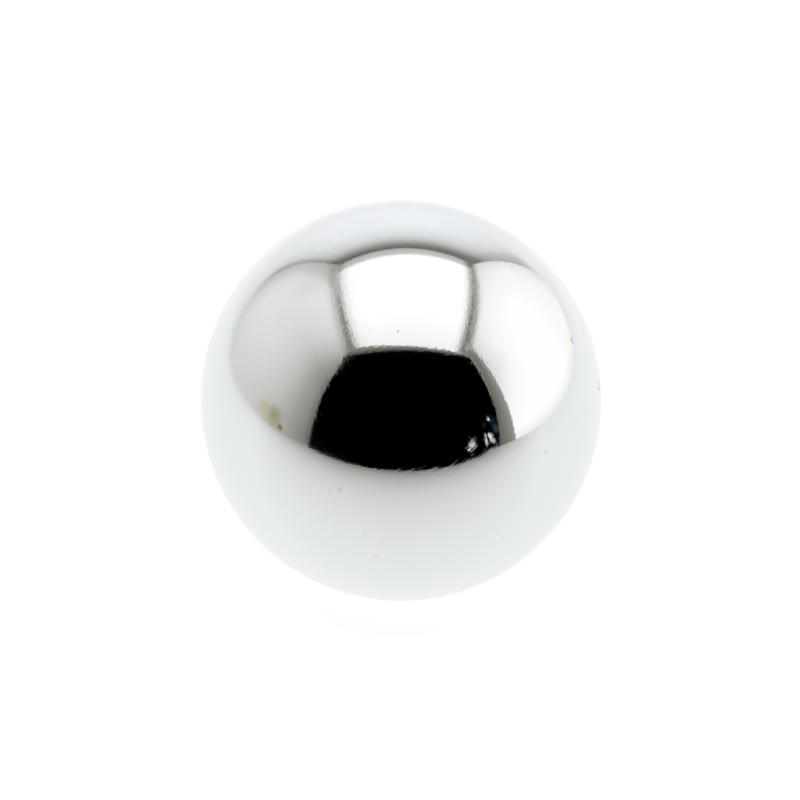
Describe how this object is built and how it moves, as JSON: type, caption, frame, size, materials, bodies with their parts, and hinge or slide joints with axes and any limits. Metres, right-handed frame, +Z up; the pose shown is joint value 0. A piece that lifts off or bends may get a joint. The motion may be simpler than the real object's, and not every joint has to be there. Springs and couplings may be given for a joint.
{
  "type": "steel ball",
  "caption": "Solid polished steel ball with a mirror finish all over, used as a rolling element, valve ball, weight, gauge or desk piece.",
  "frame": {"origin": "centre of the ball", "axes": "+Z up, as the ball lay in the picture; a plain ball is the same about every axis through its centre, so X and Y follow the view the picture was taken from, with the viewer towards -Y"},
  "size_m": [0.04, 0.04, 0.04],
  "materials": {
    "polished_steel": "lapped and polished to a mirror, bare steel with no plating"
  },
  "bodies": {
    "root": {"steel_ball": "polished_steel"}
  },
  "joints": []
}
